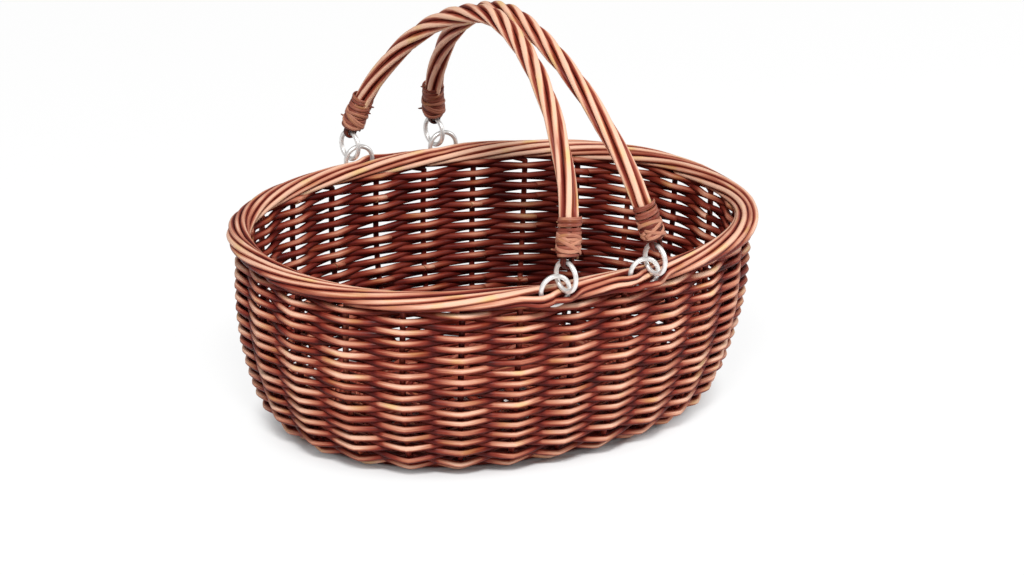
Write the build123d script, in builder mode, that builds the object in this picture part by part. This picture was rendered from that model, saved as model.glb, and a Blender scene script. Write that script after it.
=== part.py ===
"""Oval willow basket with two roped swing handles, in millimetres.

The floor is z = 0, X runs along the long axis and Y across it, and the origin is under the centre.
Round rods are swept with square sections set on edge, so that every face is flat.
"""
import os
from bisect import bisect_right
from math import asin, copysign, cos, hypot, pi, radians, sin

from build123d import *

# Plan and height of the body
LENGTH = 400.0  # over the border, along X
WIDTH = 300.0  # over the border, along Y
OVAL_POWER = 2.2  # 2 is an ellipse, and more fills out the four shoulders
BORDER_HEIGHT = 140.0  # centre of the border above the floor
FLOOR_HALF_LENGTH = 169.0  # outer face of the wall, carried down to the floor
FLOOR_HALF_WIDTH = 124.0
CORNER_RADIUS = 22.0  # outer face, where the wall turns under into the base
WALL_BULGE = 0.36  # how far the wall swells outwards before it reaches the border
BORDER_OVERHANG = 5.35  # the border stands out past the wall by this much

# Willow rods: half the diagonal of each square section
STAKES = 26
STAKE_RADIUS = 2.25
WEAVER_RADIUS = 2.0
FIT = 0.1  # space left between rods that touch

# Border: each stake turns over and becomes one rod of the roll
ROLL_RADIUS_OUT = 7.05  # the roll's rod centres, across
ROLL_RADIUS_UP = 5.2  # and in height
ROLL_START = -50.0  # degrees round the roll, from straight out: low on the outside
ROLL_END = 165.0  # ends on the inside
ROLL_BAYS = 4.5  # bays that one rod travels along the border

# Side weave: plain over-and-under rows
CORNER_ROWS = 4
FIRST_CORNER_ROW = 5.2  # along the stake from the base
CORNER_ROW_PITCH = 4.7
WALL_ROWS = 27
BAND_ROWS = 9  # wall rows kept together in one node
FIRST_WALL_ROW = 22.4  # height
LAST_WALL_ROW = 129.4
ROW_STEP = 7  # stakes between the joins of one row and the next, an odd number
ROW_JOIN = 0.8  # gap between the two ends of a row
CORNER_NODES = (0, 45)  # degrees round the corner, and
WALL_NODES = (22.0, 72.0, 132.0)  # heights, where a stake's run changes slope

# Base
CROSS_STICKS = 8
CROSS_PITCH = 16.0
LONG_STICKS = 5
LONG_PITCH = 5.6
STICK_RADIUS = 2.6
STICK_GAP = 0.5  # between the end of a base stick and its stake
SLATH_HALF_LENGTH = 66.0  # where the long sticks start to fan out
SLATH_HALF_WIDTH = 20.0
CROSS_STICK_HEIGHT = 11.2
BASE_ROWS = 7
BASE_FIT = 0.45  # space between the base weaver and the corner of a stick
BASE_EXTRA_REACH = 2.7  # how much more the innermost row stands off the sticks
BUNDLED_ROWS = 2  # inner rows that take the long sticks as one
BASE_STRIP = (3.0, 6.6)  # thickness and width of the base weaver
FOOT_ROD = (5.0, 4.1)  # width and height of the rod the basket stands on

# Rings
RING_RADIUS = 10.4  # to the middle of the wire
WIRE_RADIUS = 1.5
RING_SIDES = 14
WIRE_SIDES = 4
RIM_RING_TURN = 9.0  # degrees between the rim ring's plane and the border
HANDLE_RING_TURN = 8.0  # degrees between the handle ring's plane and Y
RIM_RING_OFFSET = (5.4, 5.2, -0.5)  # against the roll, inwards and up, from the handle ring's foot
TUNNEL_RADIUS = 2.1  # the way pressed through the border for a rim ring

# Handles
HANDLE_FOOT_X = 36.4
HANDLE_FOOT_Y = 151.4
HANDLE_FOOT_HEIGHT = 145.7  # centre of the handle ring's lowest wire
HANDLE_LEAN = 12.8  # degrees inwards, where the two handles meet
ARCH_RISE = 144.0
ARCH_POWER = 1.7
ARCH_DROP = 13.0  # the arch springs from below its pivots by this much
HANDLE_STRANDS = 5
STRAND_RADIUS = 2.5
STRAND_CIRCLE = 4.62  # rod centres about the middle of the rope
CORE_RADIUS = 1.75
ROPE_TURNS = 2.0
ROPE_RUNS = 16
ROPE_END_RUN = 27.0  # the straight run that each binding grips
ROPE_START = 5.6  # above the pivot
BINDING_INNER = 7.65  # corners of the sleeve's section
BINDING_OUTER = 9.0
BINDING_LENGTH = 29.5
BINDING_LIP = 2.9  # the binding reaches past the rods' ends by this much
BINDING_SIDES = 12
EYE_RADIUS = 3.5  # middle of the bent strip, about the ring's wire
EYE_STRIP = (1.4, 5.6)  # thickness and width
EYE_GAP = 0.4  # between the strip's ends and the rods

os.makedirs("parts", exist_ok=True)

border_half_length = LENGTH / 2 - ROLL_RADIUS_OUT - STAKE_RADIUS
border_half_width = WIDTH / 2 - ROLL_RADIUS_OUT - STAKE_RADIUS
wall_half_thickness = STAKE_RADIUS + 2 * WEAVER_RADIUS + FIT
weave_reach = STAKE_RADIUS + WEAVER_RADIUS + FIT  # from the stake's centre to the weaver's
pivot_height = HANDLE_FOOT_HEIGHT + 2 * RING_RADIUS
arch_half_span = HANDLE_FOOT_Y / (1 - (ARCH_DROP / ARCH_RISE) ** ARCH_POWER) ** (1 / ARCH_POWER)


def oval(turn, half_length, half_width):
    """Point of the plan oval at a turn angle, with its outward normal."""
    x = copysign(abs(cos(turn)) ** (2 / OVAL_POWER), cos(turn))
    y = copysign(abs(sin(turn)) ** (2 / OVAL_POWER), sin(turn))
    normal_x = copysign(abs(x) ** (OVAL_POWER - 1), x) / half_length
    normal_y = copysign(abs(y) ** (OVAL_POWER - 1), y) / half_width
    size = hypot(normal_x, normal_y)
    return x * half_length, y * half_width, normal_x / size, normal_y / size


def evenly_spaced_turns(steps=3600):
    """Turn angles at equal steps of length round the border, and the lengths themselves."""
    turns = [2 * pi * i / steps for i in range(steps + 1)]
    places = [oval(turn, border_half_length, border_half_width)[:2] for turn in turns]
    lengths = [0.0]
    for here, there in zip(places, places[1:]):
        lengths.append(lengths[-1] + hypot(there[0] - here[0], there[1] - here[1]))
    return turns, lengths


TURNS, LENGTHS = evenly_spaced_turns()
BAY = LENGTHS[-1] / STAKES


def turn_at(bay):
    """Turn angle of a place counted in bays, anticlockwise from the +X end."""
    length = (bay % STAKES) * BAY
    i = min(bisect_right(LENGTHS, length), len(LENGTHS) - 1)
    share = (length - LENGTHS[i - 1]) / (LENGTHS[i] - LENGTHS[i - 1])
    return TURNS[i - 1] + share * (TURNS[i] - TURNS[i - 1])


def wall_half_axes(height):
    """Half axes of the wall's outer face at a height."""
    share = height / (BORDER_HEIGHT - 3.5)
    swell = share + WALL_BULGE * sin(pi * share)
    top_half_length = LENGTH / 2 - BORDER_OVERHANG
    top_half_width = WIDTH / 2 - BORDER_OVERHANG
    return (
        FLOOR_HALF_LENGTH + (top_half_length - FLOOR_HALF_LENGTH) * swell,
        FLOOR_HALF_WIDTH + (top_half_width - FLOOR_HALF_WIDTH) * swell,
    )


def on_oval(bay, half_axes, outwards, height):
    x, y, normal_x, normal_y = oval(turn_at(bay), *half_axes)
    return Vector(x + outwards * normal_x, y + outwards * normal_y, height)


def outward(bay, half_axes):
    _, _, normal_x, normal_y = oval(turn_at(bay), *half_axes)
    return Vector(normal_x, normal_y, 0)


def stake_line(bay):
    """Centre line of a stake, from the base round the corner and up to the border."""
    nodes = []
    radius = CORNER_RADIUS - wall_half_thickness
    for angle in CORNER_NODES:
        height = CORNER_RADIUS - radius * cos(radians(angle))
        inset = CORNER_RADIUS - radius * sin(radians(angle))
        nodes.append(on_oval(bay, wall_half_axes(height), -inset, height))
    for height in WALL_NODES:
        nodes.append(on_oval(bay, wall_half_axes(height), -wall_half_thickness, height))
    return nodes


STAKE_LINES = [stake_line(bay) for bay in range(STAKES)]
STAKE_NORMALS = [outward(bay, (border_half_length, border_half_width)) for bay in range(STAKES)]


def beside_stake(bay, run, share, reach):
    """Point beside a stake: on one of its runs, and reach out from its centre."""
    low, high = STAKE_LINES[bay][run], STAKE_LINES[bay][run + 1]
    along = (high - low).normalized()
    side = Vector(0, 0, 1).cross(STAKE_NORMALS[bay])
    away = side.cross(along).normalized()
    return low + (high - low) * share + away * reach


def section_plane(points, lead):
    """Plane square to the start of a route, with its x axis turned towards lead."""
    along = (points[1] - points[0]).normalized()
    across = (lead - along * lead.dot(along)).normalized()
    return Plane(origin=points[0], x_dir=across, z_dir=along)


def swept(points, lead, section):
    """Solid of a section carried along straight runs with mitred corners."""
    with BuildPart() as piece:
        with BuildLine() as route:
            Polyline(*points)
        with BuildSketch(section_plane(points, lead)):
            add(section)
        sweep(path=route.line, transition=Transition.RIGHT)
    return piece.part


def square_on_edge(radius, sides=4):
    return RegularPolygon(radius, side_count=sides, mode=Mode.PRIVATE)


def strip(thickness, width):
    return Rectangle(thickness, width, mode=Mode.PRIVATE)


UP = Vector(0, 0, 1)


# ---------------------------------------------------------------- stakes and border


def roll_point(bay, share):
    """Centre of a border rod at a share of its way round the roll."""
    start, end = radians(ROLL_START), radians(ROLL_END)
    steps = 400
    angles = [start + (end - start) * i / steps for i in range(steps + 1)]
    lengths = [0.0]
    for here, there in zip(angles, angles[1:]):
        across = ROLL_RADIUS_OUT * (cos(there) - cos(here))
        upwards = ROLL_RADIUS_UP * (sin(there) - sin(here))
        lengths.append(lengths[-1] + hypot(across, upwards))
    i = min(bisect_right(lengths, share * lengths[-1]), steps)
    angle = angles[i]
    return on_oval(
        bay,
        (border_half_length, border_half_width),
        ROLL_RADIUS_OUT * cos(angle),
        BORDER_HEIGHT + ROLL_RADIUS_UP * sin(angle),
    )


def stake_route(stake):
    """A stake and the border rod that it becomes."""
    points = list(STAKE_LINES[stake])
    half_axes = (border_half_length, border_half_width)
    points.append(on_oval(stake + 0.16, half_axes, -0.6, BORDER_HEIGHT - 6.6))
    runs = int(2 * ROLL_BAYS)
    for run in range(runs + 1):
        points.append(roll_point(stake + 0.5 + run / 2, run / runs))
    return points


stake_pieces = [
    swept(stake_route(stake), STAKE_NORMALS[stake], square_on_edge(STAKE_RADIUS))
    for stake in range(STAKES)
]


# ---------------------------------------------------------------- side weave


def weave_row(run, share, first):
    """One rod that passes outside and inside the stakes in turn, with both ends behind one stake."""
    points = []
    for step in range(STAKES + 1):
        stake = (first + step) % STAKES
        reach = -weave_reach if step % 2 == 0 else weave_reach
        points.append(beside_stake(stake, run, share, reach))
    points[0] += (points[1] - points[0]).normalized() * ROW_JOIN / 2
    points[-1] += (points[-2] - points[-1]).normalized() * ROW_JOIN / 2
    return swept(points, UP, square_on_edge(WEAVER_RADIUS))


def place_on_stake(distance=None, height=None):
    """Run and share of a place given by its distance from the base or by its height."""
    nodes = STAKE_LINES[0]
    for run, (low, high) in enumerate(zip(nodes, nodes[1:])):
        length = (high - low).length
        if distance is not None and distance <= length:
            return run, distance / length
        if distance is not None:
            distance -= length
        elif height <= high.Z:
            return run, (height - low.Z) / (high.Z - low.Z)
    return len(nodes) - 2, 1.0


corner_places = [
    place_on_stake(distance=FIRST_CORNER_ROW + CORNER_ROW_PITCH * row) for row in range(CORNER_ROWS)
]
wall_pitch = (LAST_WALL_ROW - FIRST_WALL_ROW) / (WALL_ROWS - 1)
wall_places = [place_on_stake(height=FIRST_WALL_ROW + wall_pitch * row) for row in range(WALL_ROWS)]
side_rows = [
    weave_row(run, share, (ROW_STEP * row) % STAKES)
    for row, (run, share) in enumerate(corner_places + wall_places)
]


# ---------------------------------------------------------------- base


def long_stick(row):
    """A stick along X, fanned out at both ends."""
    y = LONG_PITCH * row
    height = CROSS_STICK_HEIGHT + 2 * STICK_RADIUS
    right_end = STAKE_LINES[row % STAKES][0] - STAKE_NORMALS[row % STAKES] * STICK_GAP
    left = (STAKES // 2 - row) % STAKES
    left_end = STAKE_LINES[left][0] - STAKE_NORMALS[left] * STICK_GAP
    return [
        left_end,
        Vector(-SLATH_HALF_LENGTH, y, height),
        Vector(SLATH_HALF_LENGTH, y, height),
        right_end,
    ]


def cross_stick(column):
    """A stick along Y under the long sticks, fanned out at both ends."""
    x = CROSS_PITCH * ((CROSS_STICKS - 1) / 2 - column)
    far = LONG_STICKS // 2 + 1 + column
    near = STAKES - far
    far_end = STAKE_LINES[far][0] - STAKE_NORMALS[far] * STICK_GAP
    near_end = STAKE_LINES[near][0] - STAKE_NORMALS[near] * STICK_GAP
    return [
        near_end,
        Vector(x, -SLATH_HALF_WIDTH, CROSS_STICK_HEIGHT),
        Vector(x, SLATH_HALF_WIDTH, CROSS_STICK_HEIGHT),
        far_end,
    ]


long_routes = [long_stick(row) for row in range(-(LONG_STICKS // 2), LONG_STICKS // 2 + 1)]
cross_routes = [cross_stick(column) for column in range(CROSS_STICKS)]
long_pieces = [swept(route, UP, square_on_edge(STICK_RADIUS)) for route in long_routes]
cross_pieces = [swept(route, UP, square_on_edge(STICK_RADIUS)) for route in cross_routes]


def base_spokes():
    """The fanned parts of the sticks, anticlockwise from the +X end, as bend and end."""
    right = [(route[2], route[3]) for route in long_routes]
    far = [(route[2], route[3]) for route in cross_routes]
    left = [(route[1], route[0]) for route in reversed(long_routes)]
    near = [(route[1], route[0]) for route in reversed(cross_routes)]
    return right, far, left, near


def base_row(row):
    """One closed turn of the base weave, over and under the sticks in turn."""
    share = (row + 1.0) / (BASE_ROWS + 0.8)
    right, far, left, near = base_spokes()
    together = row < BUNDLED_ROWS
    reach = STICK_RADIUS + BASE_STRIP[0] / 2 + BASE_FIT + BASE_EXTRA_REACH * (1 - share) ** 2
    points = []
    side = 1 if row % 2 else -1
    for group, bundled in ((right, together), (far, False), (left, together), (near, False)):
        spokes = [group[0], group[-1]] if bundled else group
        for number, (bend, end) in enumerate(spokes):
            points.append(bend + (end - bend) * share + UP * side * reach)
            if not bundled or number == len(spokes) - 1:
                side = -side
    points.append(points[0] + (points[-1] - points[0]).normalized() * ROW_JOIN)
    return swept(points, UP, strip(*BASE_STRIP))


base_rows = [base_row(row) for row in range(BASE_ROWS)]


# ---------------------------------------------------------------- rings


def ring(centre, level, upright, wire_radius=WIRE_RADIUS, sides=RING_SIDES, wire_sides=WIRE_SIDES):
    """Round wire ring through two square directions of its plane."""
    step = 2 * pi / sides
    corners = [
        centre + (level * cos(step * (i + 0.5)) + upright * sin(step * (i + 0.5))) * RING_RADIUS
        for i in range(sides)
    ]
    start = (corners[0] + corners[-1]) * 0.5
    along = (corners[0] - start).normalized()
    with BuildPart() as piece:
        with BuildLine() as route:
            Polyline(start, *corners, close=True)
        with BuildSketch(Plane(origin=start, x_dir=level, z_dir=along)):
            RegularPolygon(wire_radius, side_count=wire_sides)
        sweep(path=route.line, transition=Transition.RIGHT)
    return piece.part


def arch_point(side, angle):
    """Point of a handle's centre line, from the front foot at 0 to the rear foot at pi."""
    reach = copysign(abs(cos(angle)) ** (2 / ARCH_POWER), cos(angle))
    rise = ARCH_RISE * sin(angle) ** (2 / ARCH_POWER) - ARCH_DROP
    return handle_middle(side) + Vector(0, -arch_half_span * reach, 0) + handle_up(side) * rise


def handle_middle(side):
    return Vector(side * HANDLE_FOOT_X, 0, pivot_height)


def handle_up(side):
    lean = radians(HANDLE_LEAN)
    return Vector(-side * sin(lean), 0, cos(lean))


def handle_across(side):
    return Vector(0, 1, 0).cross(handle_up(side))


HANDLE_SIDES = {"left": -1, "right": 1}
HANDLE_ENDS = {"front": -1, "rear": 1}

rim_rings = {}
handle_rings = {}
tunnels = []
for side_name, side in HANDLE_SIDES.items():
    for end_name, end in HANDLE_ENDS.items():
        foot = Vector(side * HANDLE_FOOT_X, end * HANDLE_FOOT_Y, HANDLE_FOOT_HEIGHT)
        turn = radians(HANDLE_RING_TURN)
        level = Vector(-sin(turn), cos(turn), 0)
        key = f"{end_name}_{side_name}"
        handle_rings[key] = ring(foot + UP * RING_RADIUS, level, UP)
        back, inwards, upwards = RIM_RING_OFFSET
        centre = foot + Vector(end * back, -end * inwards, upwards)
        turn = radians(RIM_RING_TURN)
        level = Vector(cos(turn), -sin(turn), 0)
        rim_rings[key] = ring(centre, level, UP)
        tunnels.append((centre, ring(centre, level, UP, TUNNEL_RADIUS, RING_SIDES, 6)))
        print("rim ring", key, [round(c, 3) for c in centre], "normal turn", RIM_RING_TURN)


def with_tunnels(piece):
    """A border rod with the way through it for each rim ring it meets."""
    box = piece.bounding_box()
    for centre, tunnel in tunnels:
        reach = RING_RADIUS + TUNNEL_RADIUS
        near = all(
            low - reach < c < high + reach
            for low, c, high in zip(tuple(box.min), tuple(centre), tuple(box.max))
        )
        if near:
            cut = piece - tunnel
            solids = cut.solids().sort_by(SortBy.VOLUME)
            if len(solids) > 1:
                print("pieces cut off", [round(solid.volume, 1) for solid in solids[:-1]])
            piece = solids[-1]
    return piece


stake_pieces = [with_tunnels(piece) for piece in stake_pieces]


# ---------------------------------------------------------------- handles


def rope_nodes(side):
    """Centre line of a handle's rope: one straight run in each binding, and even runs between."""
    start = asin(((ROPE_START + ARCH_DROP) / ARCH_RISE) ** (ARCH_POWER / 2))
    steps = 2000
    fine = [arch_point(side, start + (pi - 2 * start) * i / steps) for i in range(steps + 1)]
    lengths = [0.0]
    for here, there in zip(fine, fine[1:]):
        lengths.append(lengths[-1] + (there - here).length)
    even = (lengths[-1] - 2 * ROPE_END_RUN) / (ROPE_RUNS - 2)
    marks = [0.0] + [ROPE_END_RUN + even * i for i in range(ROPE_RUNS - 1)] + [lengths[-1]]
    return [fine[min(bisect_right(lengths, mark), steps)] for mark in marks]


def strand_route(nodes, across, number):
    """One rod of the rope: it winds between the bindings and runs straight inside them."""
    points = []
    last = len(nodes) - 1
    for i, node in enumerate(nodes):
        before, after = nodes[max(i - 1, 0)], nodes[min(i + 1, last)]
        inward = (after - before).normalized().cross(across).normalized()
        wound = min(max(i - 1, 0), last - 2) / (last - 2)
        angle = 2 * pi * (number / HANDLE_STRANDS - ROPE_TURNS * wound)
        points.append(node + (inward * cos(angle) + across * sin(angle)) * STRAND_CIRCLE)
    return points


def binding(start, along, across):
    """Sleeve of wound skein round the rods' ends."""
    base = Plane(origin=start - along * BINDING_LIP, x_dir=across, z_dir=along)
    with BuildPart() as piece:
        with BuildSketch(base):
            RegularPolygon(BINDING_OUTER, side_count=BINDING_SIDES)
            RegularPolygon(BINDING_INNER, side_count=BINDING_SIDES, mode=Mode.SUBTRACT)
        extrude(amount=BINDING_LENGTH)
    return piece.part


def eye(pivot, start, along, across, upwards):
    """Strip bent round the handle ring's wire, with both legs up inside the binding."""
    arc = [
        pivot - (across * cos(radians(angle)) + upwards * sin(radians(angle))) * EYE_RADIUS
        for angle in range(0, 181, 30)
    ]
    top = start - along * EYE_GAP
    points = [top - across * EYE_RADIUS, *arc, top + across * EYE_RADIUS]
    return swept(points, across, strip(*EYE_STRIP))


ropes = {}
bindings = {}
eyes = {}
for side_name, side in HANDLE_SIDES.items():
    nodes = rope_nodes(side)
    across = handle_across(side)
    core = swept(nodes, across, square_on_edge(CORE_RADIUS))
    strands = [
        swept(strand_route(nodes, across, number), across, square_on_edge(STRAND_RADIUS))
        for number in range(HANDLE_STRANDS)
    ]
    ropes[side_name] = (core, strands)
    for end_name, end in HANDLE_ENDS.items():
        start, after = (nodes[0], nodes[1]) if end < 0 else (nodes[-1], nodes[-2])
        along = (after - start).normalized()
        pivot = Vector(side * HANDLE_FOOT_X, end * HANDLE_FOOT_Y, pivot_height)
        key = f"{end_name}_{side_name}"
        bindings[key] = binding(start, along, across)
        eyes[key] = eye(pivot, start, along, across, handle_up(side))


# ---------------------------------------------------------------- one node for each sub-part


def keep(node, name):
    node.part.label = name
    export_step(node.part, f"parts/{name}.step")
    mesh = node.part.tessellate(0.03, 0.3)
    print(name, len(node.part.solids()), "solids", len(mesh[1]), "triangles")


with BuildPart() as base_cross_sticks:
    add(cross_pieces)
keep(base_cross_sticks, "base_cross_sticks")

with BuildPart() as base_long_sticks:
    add(long_pieces)
keep(base_long_sticks, "base_long_sticks")

with BuildPart() as base_weave:
    add(base_rows)
keep(base_weave, "base_weave")

with BuildPart() as foot_rod:
    with BuildSketch():
        for edge, mode in ((0.5, Mode.ADD), (-0.5, Mode.SUBTRACT)):
            corners = [
                STAKE_LINES[bay][0] + STAKE_NORMALS[bay] * FOOT_ROD[0] * edge
                for bay in range(STAKES)
            ]
            Polygon(*[(corner.X, corner.Y) for corner in corners], align=None, mode=mode)
    extrude(amount=FOOT_ROD[1])
keep(foot_rod, "foot_rod")

with BuildPart() as stakes_and_border:
    add(stake_pieces)
keep(stakes_and_border, "stakes_and_border")

SIDE_BANDS = {
    "corner_weave": (0, CORNER_ROWS),
    "lower_weave": (CORNER_ROWS, CORNER_ROWS + BAND_ROWS),
    "middle_weave": (CORNER_ROWS + BAND_ROWS, CORNER_ROWS + 2 * BAND_ROWS),
    "upper_weave": (CORNER_ROWS + 2 * BAND_ROWS, CORNER_ROWS + WALL_ROWS),
}
for name, (first, last) in SIDE_BANDS.items():
    with BuildPart() as side_weave:
        add(side_rows[first:last])
    keep(side_weave, name)

for key in rim_rings:
    with BuildPart() as rim_ring:
        add(rim_rings[key])
    keep(rim_ring, f"rim_ring_{key}")
    with BuildPart() as handle_ring:
        add(handle_rings[key])
    keep(handle_ring, f"handle_ring_{key}")
    with BuildPart() as handle_binding:
        add(bindings[key])
    keep(handle_binding, f"binding_{key}")
    with BuildPart() as handle_eye:
        add(eyes[key])
    keep(handle_eye, f"eye_{key}")

for side_name, (core, strands) in ropes.items():
    with BuildPart() as handle_core:
        add(core)
    keep(handle_core, f"handle_core_{side_name}")
    for number, strand in enumerate(strands, start=1):
        with BuildPart() as handle_strand:
            add(strand)
        keep(handle_strand, f"handle_strand_{side_name}_{number}")
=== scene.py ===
# %% [markdown]
# # Egg collection basket
#
# An oval basket of dark-stained willow, about 400 mm long, with a rolled border and two roped
# handles that swing on linked metal rings. Nearly everything on it is a rod, so the lesson is about
# one thing done many times: a rod that follows a route, tapers, and shows its own grain. The packed
# model gives the frame, and its square rods are replaced here by round ones on the same routes.

from math import asin, cos, pi, radians, sin

import bpy
import numpy as np
from mathutils import Matrix, Vector


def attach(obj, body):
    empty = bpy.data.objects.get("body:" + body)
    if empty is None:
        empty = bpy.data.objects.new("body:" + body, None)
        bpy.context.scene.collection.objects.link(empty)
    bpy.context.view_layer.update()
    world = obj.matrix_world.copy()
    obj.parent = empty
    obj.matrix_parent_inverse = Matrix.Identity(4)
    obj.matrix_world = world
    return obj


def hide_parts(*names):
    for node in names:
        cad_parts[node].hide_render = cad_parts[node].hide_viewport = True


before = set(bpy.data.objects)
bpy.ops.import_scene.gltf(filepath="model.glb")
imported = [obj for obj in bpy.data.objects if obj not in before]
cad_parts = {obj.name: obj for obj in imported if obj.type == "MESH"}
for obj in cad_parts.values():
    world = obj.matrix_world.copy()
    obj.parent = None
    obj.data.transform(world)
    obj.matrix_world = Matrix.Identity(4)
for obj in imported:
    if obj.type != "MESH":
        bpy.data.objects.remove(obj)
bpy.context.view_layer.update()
scene = bpy.context.scene
dice = np.random.default_rng(7)

# %% [markdown]
# ## Camera
#
# The camera comes first, because every later choice is judged through it. Five plain things place it:
# how far round, how high and how far away it stands, the point that it looks at, and a slight roll.
# A long lens from two and a half metres keeps the oval calm.

# %% Camera
CAMERA_AZIMUTH = radians(-32.257)
CAMERA_ELEVATION = radians(21.515)
CAMERA_ROLL = 0.0336
CAMERA_DISTANCE = 2.5745
CAMERA_TARGET = Vector((0.00916, -0.01028, 0.09035))
CAMERA_NEAREST = 0.05
LENS, SENSOR_WIDTH = 124.95, 36.0  # mm


def place_camera():
    backwards = Vector((
        sin(CAMERA_AZIMUTH) * cos(CAMERA_ELEVATION),
        -cos(CAMERA_AZIMUTH) * cos(CAMERA_ELEVATION),
        sin(CAMERA_ELEVATION),
    ))
    level = Vector((0, 0, 1)).cross(backwards).normalized()
    upright = backwards.cross(level)
    right = level * cos(CAMERA_ROLL) + upright * sin(CAMERA_ROLL)
    up = upright * cos(CAMERA_ROLL) - level * sin(CAMERA_ROLL)
    data = bpy.data.cameras.new("camera")
    data.sensor_width = SENSOR_WIDTH
    data.lens = LENS
    data.clip_start = CAMERA_NEAREST
    camera = bpy.data.objects.new("camera", data)
    turn = Matrix((right, up, backwards)).transposed().to_4x4()
    camera.matrix_world = Matrix.Translation(CAMERA_TARGET + backwards * CAMERA_DISTANCE) @ turn
    scene.collection.objects.link(camera)
    return camera


scene.camera = place_camera()
print("camera at", [round(c, 3) for c in scene.camera.matrix_world.translation])

# %% [markdown]
# ## The form of the body
#
# A basket maker sets up stakes first and everything else follows them. The plan is a fat oval, the
# stakes stand at equal steps round it, and each one turns up through a rounded corner and leans out
# in a gentle swell. The oval could be drawn by hand as a curve, but one formula, with a power a little
# over two for its flatter sides, can be asked for a place and its outward direction by every rod.
# These few numbers are the same as the frame's, in metres.

# %% Driving dimensions of the body
LENGTH, WIDTH = 0.400, 0.300
OVAL_POWER = 2.2
BORDER_HEIGHT = 0.140
BASE_HALF_LENGTH, BASE_HALF_WIDTH = 0.169, 0.124
CORNER_RADIUS = 0.022
WALL_BULGE = 0.36
SWELL_HEIGHT = BORDER_HEIGHT - 0.0035
BORDER_OVERHANG = 0.00535
STAKES = 26
STAKE_RADIUS = 0.00225
WEAVER_RADIUS = 0.0020
WEAVE_CLEARANCE = 0.0001
WEAVE_REACH = STAKE_RADIUS + WEAVER_RADIUS + WEAVE_CLEARANCE
WALL_HALF_THICKNESS = WEAVE_REACH + WEAVER_RADIUS
ROLL_RADIUS_OUT, ROLL_RADIUS_UP = 0.00705, 0.0052
BORDER_HALF_LENGTH = LENGTH / 2 - ROLL_RADIUS_OUT - STAKE_RADIUS
BORDER_HALF_WIDTH = WIDTH / 2 - ROLL_RADIUS_OUT - STAKE_RADIUS
print("the wall is", round(2000 * WALL_HALF_THICKNESS, 1), "mm thick at the stakes")

# %% Bays round the oval
OVAL_STEPS = 3600


def oval(turn, half_length, half_width):
    """Places on the plan oval at turn angles, with their outward normals."""
    x = np.sign(np.cos(turn)) * np.abs(np.cos(turn)) ** (2 / OVAL_POWER)
    y = np.sign(np.sin(turn)) * np.abs(np.sin(turn)) ** (2 / OVAL_POWER)
    normal_x = np.sign(x) * np.abs(x) ** (OVAL_POWER - 1) / half_length
    normal_y = np.sign(y) * np.abs(y) ** (OVAL_POWER - 1) / half_width
    size = np.hypot(normal_x, normal_y)
    return x * half_length, y * half_width, normal_x / size, normal_y / size


TURNS = np.linspace(0, 2 * pi, OVAL_STEPS + 1)
border_x, border_y, _, _ = oval(TURNS, BORDER_HALF_LENGTH, BORDER_HALF_WIDTH)
LENGTHS = np.concatenate([[0], np.cumsum(np.hypot(np.diff(border_x), np.diff(border_y)))])
BAY = LENGTHS[-1] / STAKES


def turn_at(bay):
    """Turn angles of places counted in bays, anticlockwise from the +X end."""
    return np.interp(np.mod(bay, STAKES) * BAY, LENGTHS, TURNS)


def on_oval(bay, half_axes, outwards, height):
    """Points beside the oval as rows of x, y, z."""
    x, y, normal_x, normal_y = oval(turn_at(bay), *half_axes)
    x, y, height = np.broadcast_arrays(x + outwards * normal_x, y + outwards * normal_y, height)
    return np.stack([x, y, height], axis=-1)


print("one bay is", round(BAY * 1000, 1), "mm of border")

# %% [markdown]
# ## The stakes' line
#
# Every row of weave is placed by how far along the stake it lies, so the stake's centre line is a
# function of two things: which bay, and how far from the base. Asking for a point between two stakes
# is allowed, which is what lets a weaver curve smoothly from one stake to the next. A wall could also be
# modelled and the rods wrapped onto it, but then every change of its form would mean wrapping again.

# %% Points along and beside the stakes
CORNER_LINE_RADIUS = CORNER_RADIUS - WALL_HALF_THICKNESS
CORNER_LENGTH = CORNER_LINE_RADIUS * pi / 2
NEARBY_DISTANCE, NEARBY_BAY = 0.0005, 0.02  # steps that measure a direction


def wall_half_axes(height):
    """Half axes of the wall's outside, which swells out between the base and the border."""
    share = height / SWELL_HEIGHT
    swell = share + WALL_BULGE * np.sin(pi * share)
    return (
        BASE_HALF_LENGTH + (LENGTH / 2 - BORDER_OVERHANG - BASE_HALF_LENGTH) * swell,
        BASE_HALF_WIDTH + (WIDTH / 2 - BORDER_OVERHANG - BASE_HALF_WIDTH) * swell,
    )


def stake_point(bay, distance):
    """Centre of the wall at a place in bays and a distance along the stakes from the base."""
    angle = np.minimum(distance, CORNER_LENGTH) / CORNER_LINE_RADIUS
    height = CORNER_RADIUS - CORNER_LINE_RADIUS * np.cos(angle)
    height = height + np.maximum(distance - CORNER_LENGTH, 0)
    inset = CORNER_RADIUS - CORNER_LINE_RADIUS * np.sin(angle)
    return on_oval(bay, wall_half_axes(height), -inset, height)


def unit(vectors):
    return vectors / np.linalg.norm(vectors, axis=-1, keepdims=True)


def away_from_stake(bay, distance):
    """Directions square to the wall, which turn from straight down at the base to outwards."""
    above = stake_point(bay, distance + NEARBY_DISTANCE)
    below = stake_point(bay, distance - NEARBY_DISTANCE)
    after = stake_point(bay + NEARBY_BAY, distance)
    before = stake_point(bay - NEARBY_BAY, distance)
    return unit(np.cross(unit(after - before), unit(above - below)))


def distance_at_height(height):
    return CORNER_LENGTH + height - CORNER_RADIUS


print("corner length", round(CORNER_LENGTH * 1000, 1), "mm")

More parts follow.
